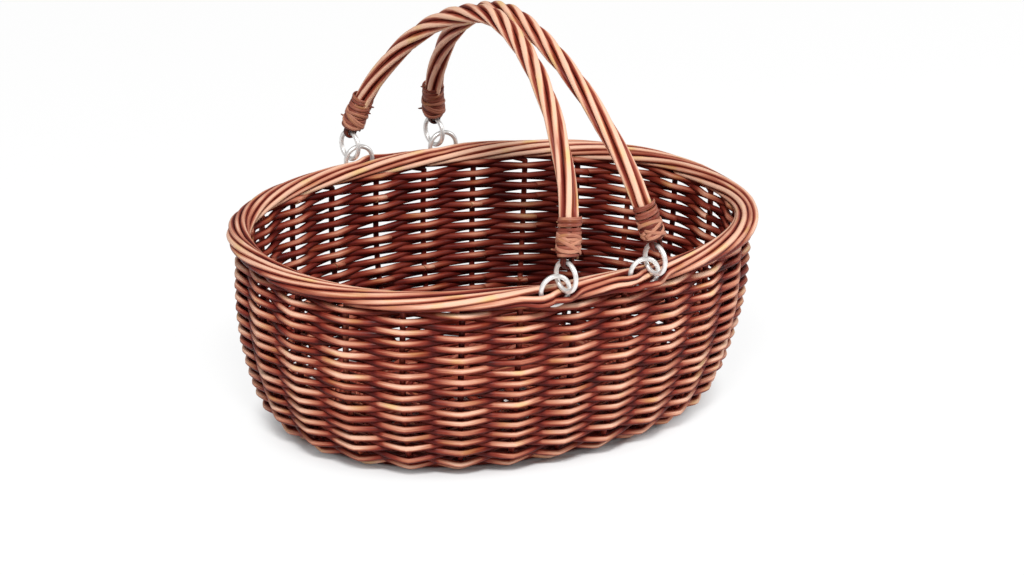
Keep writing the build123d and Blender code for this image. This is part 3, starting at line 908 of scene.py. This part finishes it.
def stake_rod(stake):
    """A stake with its part of the border, as one rod that is thicker in the roll."""
    thick = BORDER_ROD_RADIUS * dice.uniform(*BORDER_ROD_SIZES)
    thin = STAKE_RADIUS * STAKE_SHARE
    tail = dice.uniform(*TAIL_SIZES)
    roll, outwards = roll_points(stake, ROLL_END + TAIL_ANGLE * tail, ROLL_BAYS + TAIL_BAYS * tail,
                                 dice.uniform(0.0, DEEPEST_EASE))
    roll = roll + outwards * slow_noise(ROLL_STEPS, *ROLL_NOISE)[:, None]
    points = stake_route(stake, roll)
    count = len(points)
    before_roll = count - ROLL_STEPS
    in_roll = np.clip((np.arange(count) - before_roll) / ROLL_STEPS, 0, 1)
    swelling = np.clip(in_roll * SWELLING_RATE, 0, 1)
    radius = (thin + (thick - thin) * swelling) * (1 - TIP_TAPER * in_roll**3)
    points = part_round_wire(dip_under_rings(points), radius)
    # Wear with painted light and shade: the top and outer side of the roll are lighter, and the
    # undersides and the gaps between rods darker, as if in shade.
    wear_and_painted_light = STAKE_WEAR_AND_LIGHT + BORDER_WEAR_AND_LIGHT * swelling + slow_noise(count, *BORDER_WEAR_NOISE)
    facing = np.vstack([np.tile(outwards[0], (before_roll, 1)), outwards])
    facing = unit(facing + BORDER_PAINTED_LIGHT_UP * UP)
    return rod(points, radius, lead=STAKE_LEAD, tone=dice.uniform(*BORDER_TONES), wear_and_painted_light=wear_and_painted_light,
               facing=facing, slant=BORDER_SLANT)


piece("stake_rods", [stake_rod(stake) for stake in range(STAKES)], "basket", [willow, cut_willow],
      ["stakes_and_border"])

# %% [markdown]
# ## Base
#
# The base is a slath: five long sticks laid over eight cross sticks, fanned out so that every end
# meets a stake. Thin rods are woven round it four at a time, over and under, and one rod round the
# outside is what the basket stands on. Little of it is seen, and a flat plate would hide that, but
# light comes through between the rods, and from below the base is the whole view.

# %% Base sticks
CROSS_STICKS, CROSS_PITCH = 8, 0.016
LONG_STICKS, LONG_PITCH = 5, 0.0056
STICK_RADIUS, STICK_GAP = 0.0026, 0.0005
STICK_SHARE = 0.98  # a stick is this much of its full thickness, so that the crossing ones part
STICK_STEPS, STICK_BEND, STICK_WEAR = 5, 0.06, 0.35
STICK_LEAD = (0.1, 0.2, 1.0)
SLATH_HALF_LENGTH, SLATH_HALF_WIDTH = 0.066, 0.020
CROSS_STICK_HEIGHT = 0.0112


def stake_foot(stake):
    """Where a base stick ends, just short of its stake."""
    foot = stake_point(np.array([float(stake)]), np.array([0.0]))[0]
    _, _, normal_x, normal_y = oval(turn_at(float(stake)), *BORDER_HALF_AXES)
    return foot - STICK_GAP * np.array([normal_x, normal_y, 0])


def long_route(row):
    y, height = LONG_PITCH * row, CROSS_STICK_HEIGHT + 2 * STICK_RADIUS
    return np.array([
        stake_foot((STAKES // 2 - row) % STAKES),
        (-SLATH_HALF_LENGTH, y, height),
        (SLATH_HALF_LENGTH, y, height),
        stake_foot(row % STAKES),
    ])


def cross_route(column):
    x = CROSS_PITCH * ((CROSS_STICKS - 1) / 2 - column)
    far = LONG_STICKS // 2 + 1 + column
    return np.array([
        stake_foot(STAKES - far),
        (x, -SLATH_HALF_WIDTH, CROSS_STICK_HEIGHT),
        (x, SLATH_HALF_WIDTH, CROSS_STICK_HEIGHT),
        stake_foot(far),
    ])


def stick_rod(route):
    """A base stick, eased at its two bends."""
    points = [
        low + (high - low) * share
        for low, high in zip(route, route[1:])
        for share in (STICK_BEND, 0.5, 1 - STICK_BEND)
    ]
    points = smooth_route(np.vstack([route[:1], points, route[-1:]]), STICK_STEPS)
    return rod(points, STICK_RADIUS * STICK_SHARE, lead=STICK_LEAD, wear_and_painted_light=STICK_WEAR)


long_routes = [long_route(row) for row in range(-(LONG_STICKS // 2), LONG_STICKS // 2 + 1)]
cross_routes = [cross_route(column) for column in range(CROSS_STICKS)]
for name, routes, stands_for in (
    ("long_stick_rods", long_routes, "base_long_sticks"),
    ("cross_stick_rods", cross_routes, "base_cross_sticks"),
):
    sticks = [stick_rod(route) for route in routes]
    piece(name, sticks, "basket", [willow, cut_willow], [stands_for])

# %% Base weave
BASE_ROWS, BUNDLED_ROWS = 7, 2
BASE_ROW_MARGIN = 0.8  # in rows, between the last row and the stakes
BASE_ROD_RADIUS, BASE_ROD_STEPS, BASE_ROD_WEAR, BASE_ROD_LAP = 0.0015, 6, 0.3, 0.08
BASE_FIT, BASE_EXTRA_REACH = 0.00045, 0.0027
BASE_ROD_SHIFTS = (-0.0048, -0.0016, 0.0016, 0.0048)


def base_spokes():
    """The sticks' arms as pairs of bend and end, in four groups round the slath."""
    right = [(route[2], route[3]) for route in long_routes]
    far = [(route[2], route[3]) for route in cross_routes]
    left = [(route[1], route[0]) for route in reversed(long_routes)]
    near = [(route[1], route[0]) for route in reversed(cross_routes)]
    return right, far, left, near


def base_row(row, shift):
    """One of the four rods of a base row, shifted across its route."""
    share = (row + 1) / (BASE_ROWS + BASE_ROW_MARGIN)
    reach = STICK_RADIUS + BASE_ROD_RADIUS + BASE_FIT + BASE_EXTRA_REACH * (1 - share) ** 2
    right, far, left, near = base_spokes()
    together = row < BUNDLED_ROWS
    points = []
    side = 1 if row % 2 else -1
    for group, bundled in ((right, together), (far, False), (left, together), (near, False)):
        spokes = [group[0], group[-1]] if bundled else group
        for number, (bend, end) in enumerate(spokes):
            outwards = unit((end - bend) * [1, 1, 0])
            place = bend + (end - bend) * share + outwards * shift
            points.append(place + [0, 0, side * reach])
            if not bundled or number == len(spokes) - 1:
                side = -side
    points.append(points[0] * (1 - BASE_ROD_LAP) + points[-1] * BASE_ROD_LAP)
    return rod(smooth_route(points, BASE_ROD_STEPS), BASE_ROD_RADIUS, wear_and_painted_light=BASE_ROD_WEAR)


base_rods = [base_row(row, shift) for row in range(BASE_ROWS) for shift in BASE_ROD_SHIFTS]
piece("base_weave_rods", base_rods, "basket", [willow, cut_willow], ["base_weave"])

# %% Foot rod
FOOT_ROD_RADIUS, FOOT_ROD_HEIGHT, FOOT_ROD_STEPS_PER_BAY = 0.00204, 0.00205, 6


def foot_hoop():
    bays = np.linspace(0, STAKES, STAKES * FOOT_ROD_STEPS_PER_BAY, endpoint=False)
    centre = stake_point(bays, np.zeros(len(bays)))
    centre[:, 2] = FOOT_ROD_HEIGHT
    return closed_rod(centre, FOOT_ROD_RADIUS, UP)


piece("foot_rod_hoop", [foot_hoop()], "basket", [willow], ["foot_rod"], closed=True)

# %% [markdown]
# ## Roped handles
#
# Each handle is a bent core with five rods laid round it. They lie nearly straight under the bindings
# and twist hardest over the top, where the hand holds them. Straight rods with a twist and a bend on
# them would turn evenly all the way, so the angle of each rod is worked out along the arch instead. The
# arch is one formula, leaning inwards so that the two handles meet above the middle.

# %% The handles' arch
ARCH_RISE, ARCH_POWER, ARCH_DROP = 0.144, 1.7, 0.013
ARCH_HALF_SPAN = HANDLE_FOOT_Y / (1 - (ARCH_DROP / ARCH_RISE) ** ARCH_POWER) ** (1 / ARCH_POWER)
HANDLE_LEAN = radians(12.8)
ROPE_START = 0.0056
ROPE_STEPS, ARCH_FINE_STEPS = 220, 4000


def handle_up(side):
    return np.array([-side * sin(HANDLE_LEAN), 0, cos(HANDLE_LEAN)])


def handle_across(side):
    return np.cross([0.0, 1.0, 0.0], handle_up(side))


def rope_line(side):
    """Evenly spaced centre points of a handle, from the front foot to the rear one."""
    start = asin(((ROPE_START + ARCH_DROP) / ARCH_RISE) ** (ARCH_POWER / 2))
    angle = np.linspace(start, pi - start, ARCH_FINE_STEPS)
    reach = np.sign(np.cos(angle)) * np.abs(np.cos(angle)) ** (2 / ARCH_POWER)
    rise = ARCH_RISE * np.sin(angle) ** (2 / ARCH_POWER) - ARCH_DROP
    middle = np.array([side * HANDLE_FOOT_X, 0, PIVOT_HEIGHT])
    fine = middle + rise[:, None] * handle_up(side)
    fine[:, 1] -= ARCH_HALF_SPAN * reach
    lengths = lengths_along(fine)
    marks = np.linspace(0, lengths[-1], ROPE_STEPS)
    return np.stack([np.interp(marks, lengths, fine[:, i]) for i in range(3)], axis=1)


print("a rope is", round(lengths_along(rope_line(1))[-1], 3), "m long")

# %% Roped handles
HANDLE_STRANDS = 5
STRAND_RADIUS, STRAND_CIRCLE, CORE_RADIUS, CORE_WEAR = 0.00248, 0.0045, 0.0019, 0.2
ROPE_TURNS, ROPE_END_RUN, ROPE_EASE = 2.0, 0.027, 0.55
STRAND_NOISE = (18, 0.00006)
STRAND_WEAR_AND_LIGHT, STRAND_WEAR_NOISE, STRAND_TONES = 1.15, (10, 0.10), (0.5, 1.4)


def strand_rod(line, across, number):
    """One rod of the rope: straight inside the bindings, and wound hardest over the top."""
    along = np.linspace(0, lengths_along(line)[-1], len(line))
    share = np.clip((along - ROPE_END_RUN) / (along[-1] - 2 * ROPE_END_RUN), 0, 1)
    wound = share - ROPE_EASE * np.sin(2 * pi * share) / (2 * pi)
    angle = 2 * pi * (number / HANDLE_STRANDS - ROPE_TURNS * wound)
    inward = unit(np.cross(unit(np.gradient(line, axis=0)), across))
    offset = inward * np.cos(angle)[:, None] + across * np.sin(angle)[:, None]
    radius = STRAND_RADIUS + slow_noise(len(line), *STRAND_NOISE)
    # Wear with painted light and shade: each strand is lighter on its outer side, and darker towards the
    # core and in the grooves, as if in shade.
    wear_and_painted_light = STRAND_WEAR_AND_LIGHT + slow_noise(len(line), *STRAND_WEAR_NOISE)
    return rod(line + offset * STRAND_CIRCLE, radius, lead=offset[0],
               tone=dice.uniform(*STRAND_TONES), wear_and_painted_light=wear_and_painted_light, facing=offset)


ropes = {}
for side_name, side in HANDLE_SIDES.items():
    line, across = rope_line(side), handle_across(side)
    ropes[side_name] = (line, across)
    body = f"handle_{side_name}"
    core = rod(line, CORE_RADIUS, lead=across, wear_and_painted_light=CORE_WEAR)
    piece(f"core_rod_{side_name}", [core], body, [willow, cut_willow], [f"handle_core_{side_name}"])
    for number in range(HANDLE_STRANDS):
        piece(f"strand_rod_{side_name}_{number + 1}",
              [strand_rod(line, across, number)], body, [willow, cut_willow],
              [f"handle_strand_{side_name}_{number + 1}"])

# %% [markdown]
# ## Bindings and eyes
#
# Skein is willow split and shaved flat. A strip of it is wound round the rods' ends from the bottom
# up, and two more cross the lower turns to lock them. Cut tips stand out a little, as they do on any
# binding made by hand. Another strip makes the eye: it goes round the ring's wire and up inside the
# binding. A sleeve with bump on it would have a smooth outline, so the turns are real strips.

# %% Skein material
SKEIN_STOPS = [
    (0.00, (0.030, 0.003, 0.002)),
    (0.35, (0.160, 0.028, 0.017)),
    (0.70, (0.300, 0.088, 0.056)),
    (1.00, (0.520, 0.230, 0.145)),
]
skein = willow_material("Binding skein", SKEIN_STOPS, (0.35, 0.90, 0.85, 0.40), -0.84,
                        roughness=0.45, coat=0.15, bump=0.6, streak_size=1.4)
print("material", skein.name)

# %% Flat strips of skein
SKEIN_HALF_WIDTH, SKEIN_HALF_THICKNESS = 0.0013, 0.00065


def flattened(strip, points, first, first_half, second, second_half):
    """Gives a rod an oval section that spans two directions across its route."""
    places = points[:, None, :] + (
        np.cos(ROUND_THE_ROD)[None, :, None] * first[:, None, :] * first_half
        + np.sin(ROUND_THE_ROD)[None, :, None] * second[:, None, :] * second_half
    )
    strip["places"] = places.reshape(-1, 3)
    return strip


def skein_strip(base, along, across, angle, climb, barrel, wear_and_painted_light):
    """A flat strip that is wound round the axis, given by its angle, its climb and its radius."""
    inward = np.cross(along, across)
    turned = np.cos(angle)[:, None] * across + np.sin(angle)[:, None] * inward
    points = base + climb[:, None] * along + barrel[:, None] * turned
    wide = unit(np.cross(turned, unit(np.gradient(points, axis=0))))
    strip = rod(points, SKEIN_HALF_WIDTH, lead=turned[0], buds=False, wear_and_painted_light=wear_and_painted_light)
    return flattened(strip, points, turned, SKEIN_HALF_THICKNESS, wide, SKEIN_HALF_WIDTH)


print("skein is", 2000 * SKEIN_HALF_WIDTH, "mm wide")

# %% Bindings
BINDING_LENGTH, BINDING_LIP, BINDING_WRAPS, WRAP_STEPS = 0.0295, 0.0029, 11, 28
BINDING_RADIUS_LOW, BINDING_RADIUS_TOP = 0.0078, 0.0077
WRAP_WAVE, WRAP_NOISE = 0.0005, (20, 0.0004)
BARREL_NOISE = (16, 0.0002)
LIP_DEPTH, LIP_RATE = 0.0009, 7  # the strip starts this much deeper, for a seventh of its length
WRAP_WEAR, WRAP_WEAR_NOISE = 0.7, (9, 0.25)
CROSSING_TURNS, CROSSING_STEPS, CROSSING_WEAR = 2, 36, 1.0
CROSSING_HEIGHT, CROSSING_SWING, CROSSING_CLIMB = 0.0085, 0.0055, 0.003
CROSSING_BEND, CROSSING_LIFT, CROSSING_GAP = 0.75, 0.0006, 0.0001
STRAY_TIPS = ((0.005, 0.0045), (0.019, 0.0035), (0.024, 0.0030))  # height and length of each
STRAY_RADII = np.array([0.0009, 0.0008, 0.0007, 0.0005])
STRAY_SIDEWAYS, STRAY_TILT, STRAY_WEAR = 1.2, 0.6, 0.6


def wound_strip(base, along, across):
    """The main strip of a binding, which is drawn in a little at its low end."""
    steps = BINDING_WRAPS * WRAP_STEPS
    share = np.linspace(0, 1, steps)
    angle = 2 * pi * BINDING_WRAPS * share + dice.uniform(0, 2 * pi)
    climb = SKEIN_HALF_WIDTH + share * (BINDING_LENGTH - 2 * SKEIN_HALF_WIDTH)
    climb = climb + WRAP_WAVE * np.sin(angle + 1.0) + slow_noise(steps, *WRAP_NOISE)
    barrel = BINDING_RADIUS_LOW + (BINDING_RADIUS_TOP - BINDING_RADIUS_LOW) * share
    drawn_in = LIP_DEPTH * (1 - np.clip(share * LIP_RATE, 0, 1))
    barrel = barrel + slow_noise(steps, *BARREL_NOISE) - drawn_in
    wear_and_painted_light = WRAP_WEAR + slow_noise(steps, *WRAP_WEAR_NOISE)
    return skein_strip(base, along, across, angle, climb, barrel, wear_and_painted_light)


def crossing_strip(base, along, across, lean):
    """A strip laid slanting over the lower turns."""
    steps = CROSSING_TURNS * CROSSING_STEPS
    share = np.linspace(0, 1, steps)
    angle = 2 * pi * CROSSING_TURNS * share + dice.uniform(0, 2 * pi)
    climb = CROSSING_HEIGHT + lean * CROSSING_SWING * np.sin(angle * CROSSING_BEND)
    climb = climb + CROSSING_CLIMB * share
    barrel = np.full(steps, BINDING_RADIUS_LOW + CROSSING_LIFT) + CROSSING_GAP * lean
    return skein_strip(base, along, across, angle, climb, barrel, CROSSING_WEAR)


def stray_tip(base, along, across, height, length):
    """The cut tip of a strip that stands out from the binding."""
    angle = dice.uniform(0, 2 * pi)
    turned = np.cos(angle) * across + np.sin(angle) * np.cross(along, across)
    tilt = along * dice.uniform(-STRAY_TILT, STRAY_TILT)
    way = unit(turned + np.cross(along, turned) * STRAY_SIDEWAYS + tilt)
    root = base + along * height + turned * BINDING_RADIUS_LOW
    points = root + np.linspace(0, length, len(STRAY_RADII))[:, None] * way
    return rod(points, STRAY_RADII, lead=along, buds=False, wear_and_painted_light=STRAY_WEAR)


def binding_rods(start, along, across):
    base = start - along * BINDING_LIP
    strips = [wound_strip(base, along, across)]
    strips += [crossing_strip(base, along, across, lean) for lean in (-1, 1)]
    strips += [stray_tip(base, along, across, *tip) for tip in STRAY_TIPS]
    return strips


print("a binding has", BINDING_WRAPS, "turns over", 1000 * BINDING_LENGTH, "mm")

# %% Eyes and handle feet
EYE_RADIUS, EYE_GAP, EYE_WEAR, EYE_STEPS = 0.0034, 0.0004, 0.4, 14
EYE_HALF_THICKNESS, EYE_HALF_WIDTH = 0.0013, 0.0031
ALONG_STEPS = 4  # rope steps that measure the direction of a handle's foot


def eye_rod(pivot, start, along, across, upwards):
    """The strip round the ring's wire, with both legs up in the binding."""
    angles = np.radians(np.linspace(0, 180, EYE_STEPS + 1))
    arc = np.cos(angles)[:, None] * across + np.sin(angles)[:, None] * upwards
    top = start - along * EYE_GAP
    beside = across * EYE_RADIUS
    halfway = (top + pivot) / 2
    points = np.vstack([
        [top - beside, halfway - beside],
        pivot - EYE_RADIUS * arc,
        [halfway + beside, top + beside],
    ])
    level = np.cross(across, upwards)
    strip = rod(points, EYE_HALF_WIDTH, lead=level, buds=False, wear_and_painted_light=EYE_WEAR, slant=0)
    _, wide, thin = carried_frames(points, level)
    return flattened(strip, points, wide, EYE_HALF_WIDTH, thin, EYE_HALF_THICKNESS)


for side_name, side in HANDLE_SIDES.items():
    line, across = ropes[side_name]
    body = f"handle_{side_name}"
    for end_name, end in HANDLE_ENDS.items():
        rope = line if end < 0 else line[::-1]
        start, along = rope[0], unit(rope[ALONG_STEPS] - rope[0])
        key = f"{end_name}_{side_name}"
        pivot = np.array([side * HANDLE_FOOT_X, end * HANDLE_FOOT_Y, PIVOT_HEIGHT])
        piece(f"binding_skein_{key}", binding_rods(start, along, across), body,
              [skein, cut_willow], [f"binding_{key}"])
        piece(f"eye_strip_{key}", [eye_rod(pivot, start, along, across, handle_up(side))], body,
              [skein, cut_willow], [f"eye_{key}"])

# %% [markdown]
# ## Floor, backdrop and light
#
# The basket stands on a wide white floor in a white room. To the camera, the floor gives off some
# light of its own, so that it stays white and keeps only a soft shadow. Under the basket it gives off
# none, so the gaps between the rods stay dark there, and the glow fades in over a band round the foot,
# which paints a soft shadow there. One large lamp above and in front models the rods, a weaker one
# fills from the other side, and the room is dim enough that the inside of the basket stays dark. More
# lamps would flatten the weave.

# %% Floor
FLOOR_HALF = 6.0
FLOOR_COLOUR, FLOOR_ROUGHNESS = (0.90, 0.90, 0.90, 1.0), 0.9
WHITE = (1, 1, 1, 1)
GLOW_STRENGTH, GLOW_SHARE = 1.04, 0.86
# The glow fades in between these two, which paints a soft shadow round the foot.
GLOW_START, GLOW_FULL = 0.90, 1.12  # how far out, as a share of the base's half axes


def glow_with_painted_foot_shadow(tree):
    """Nothing under the basket, rising to GLOW_SHARE outside its base, which paints a soft shadow round
    the foot.
    """
    places = node(tree, "ShaderNodeTexCoord")
    scaled = node(tree, "ShaderNodeVectorMath", operation="DIVIDE")
    scaled.inputs[1].default_value = (BASE_HALF_LENGTH, BASE_HALF_WIDTH, 1.0)
    size = node(tree, "ShaderNodeVectorMath", operation="LENGTH")
    outside = node(tree, "ShaderNodeMapRange", interpolation_type="SMOOTHSTEP",
                   in_From_Min=GLOW_START, in_From_Max=GLOW_FULL, in_To_Max=GLOW_SHARE)
    tree.links.new(places.outputs["Object"], scaled.inputs[0])
    tree.links.new(scaled.outputs["Vector"], size.inputs[0])
    tree.links.new(size.outputs["Value"], outside.inputs["Value"])
    return outside.outputs["Result"]


def floor_material():
    material, tree, shader = new_material("White floor")
    shader.inputs["Base Color"].default_value = FLOOR_COLOUR
    shader.inputs["Roughness"].default_value = FLOOR_ROUGHNESS
    glow = node(tree, "ShaderNodeEmission", in_Color=WHITE, in_Strength=GLOW_STRENGTH)
    path = node(tree, "ShaderNodeLightPath")
    seen = node(tree, "ShaderNodeMath", operation="MULTIPLY")
    tree.links.new(path.outputs["Is Camera Ray"], seen.inputs[0])
    tree.links.new(glow_with_painted_foot_shadow(tree), seen.inputs[1])
    mix = node(tree, "ShaderNodeMixShader")
    tree.links.new(seen.outputs[0], mix.inputs["Fac"])
    tree.links.new(shader.outputs["BSDF"], mix.inputs[1])
    tree.links.new(glow.outputs["Emission"], mix.inputs[2])
    tree.links.new(mix.outputs["Shader"], tree.nodes["Material Output"].inputs["Surface"])
    return material


corners = [(-1, -1), (1, -1), (1, 1), (-1, 1)]
floor_mesh = bpy.data.meshes.new("floor")
floor_mesh.from_pydata([(FLOOR_HALF * x, FLOOR_HALF * y, 0) for x, y in corners], [], [(0, 1, 2, 3)])
floor_mesh.materials.append(floor_material())
floor = bpy.data.objects.new("floor", floor_mesh)
scene.collection.objects.link(floor)
print("floor", 2 * FLOOR_HALF, "m wide")

# %% Room
ROOM_LIGHT = 0.38  # of what the camera sees of it


def white_room():
    world = bpy.data.worlds.new("White room")
    world.use_nodes = True
    tree = world.node_tree
    background = tree.nodes["Background"]
    background.inputs["Color"].default_value = WHITE
    path = node(tree, "ShaderNodeLightPath")
    strength = node(tree, "ShaderNodeMapRange", in_To_Min=ROOM_LIGHT, in_To_Max=1.0)
    tree.links.new(path.outputs["Is Camera Ray"], strength.inputs["Value"])
    tree.links.new(strength.outputs["Result"], background.inputs["Strength"])
    return world


scene.world = white_room()
scene.view_settings.view_transform = "Standard"
print("room light", ROOM_LIGHT)

# %% Lamps
BASKET_MIDDLE = (0.0, 0.0, 0.12)
LAMPS = {  # place, size across and power
    "key_lamp": ((-0.8, -1.2, 1.8), 0.5, 40),
    "fill_lamp": ((1.6, -0.9, 1.2), 1.0, 15),
}


def lamp(name, place, size, power):
    data = bpy.data.lights.new(name, "AREA")
    data.shape = "DISK"
    data.size = size
    data.energy = power
    thing = bpy.data.objects.new(name, data)
    aim = (Vector(BASKET_MIDDLE) - Vector(place)).to_track_quat("-Z", "Y")
    thing.matrix_world = Matrix.LocRotScale(Vector(place), aim, None)
    scene.collection.objects.link(thing)
    print(name, size, "m across,", power, "W")


for name, (place, size, power) in LAMPS.items():
    lamp(name, place, size, power)
